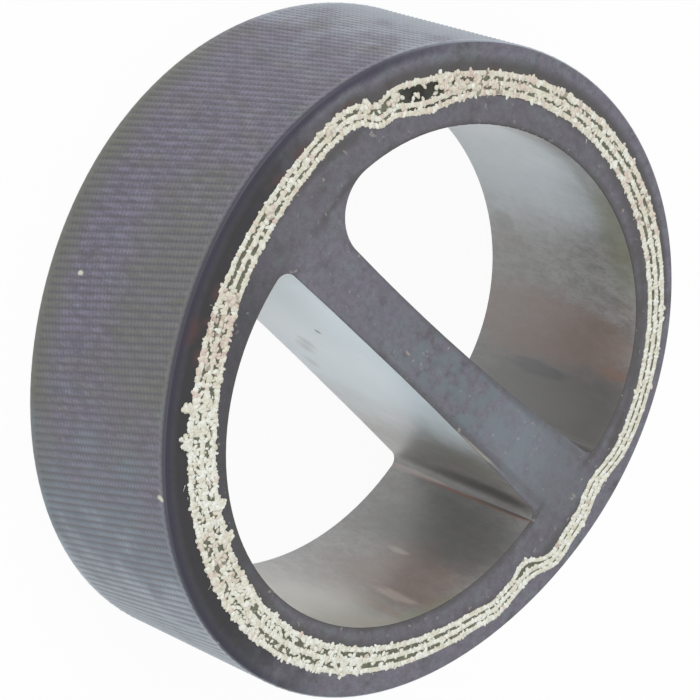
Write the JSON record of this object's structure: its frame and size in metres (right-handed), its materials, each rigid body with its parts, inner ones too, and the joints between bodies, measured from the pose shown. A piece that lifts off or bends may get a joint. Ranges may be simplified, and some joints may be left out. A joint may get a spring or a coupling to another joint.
{
  "type": "exhaust hanger ring",
  "caption": "Fabric-reinforced rubber ring with a web across its bore and a D-shaped eye on each side of it, to hang an exhaust from a hook.",
  "frame": {"origin": "middle of the ring's box, on its lower cut face", "axes": "+Z along the ring's axis, +X along the web, +Y across the web towards the upper eye"},
  "size_m": [0.0634, 0.069, 0.0229],
  "materials": {
    "cover_rubber": "dull black-grey rubber with the fine imprint of a woven curing cloth outside",
    "core_rubber": "dull purple-grey cut rubber, smooth greyer bore walls",
    "ply_rubber": "dark rubber between the plies",
    "cord_cloth": "cream cotton cord, cut and slightly frayed at both faces"
  },
  "bodies": {
    "root": {"outer_cover": "cover_rubber", "outer_fabric_ply": "cord_cloth", "outer_ply_rubber": "ply_rubber", "middle_fabric_ply": "cord_cloth", "inner_ply_rubber": "ply_rubber", "inner_fabric_ply": "cord_cloth", "web_core": "core_rubber"}
  },
  "joints": []
}
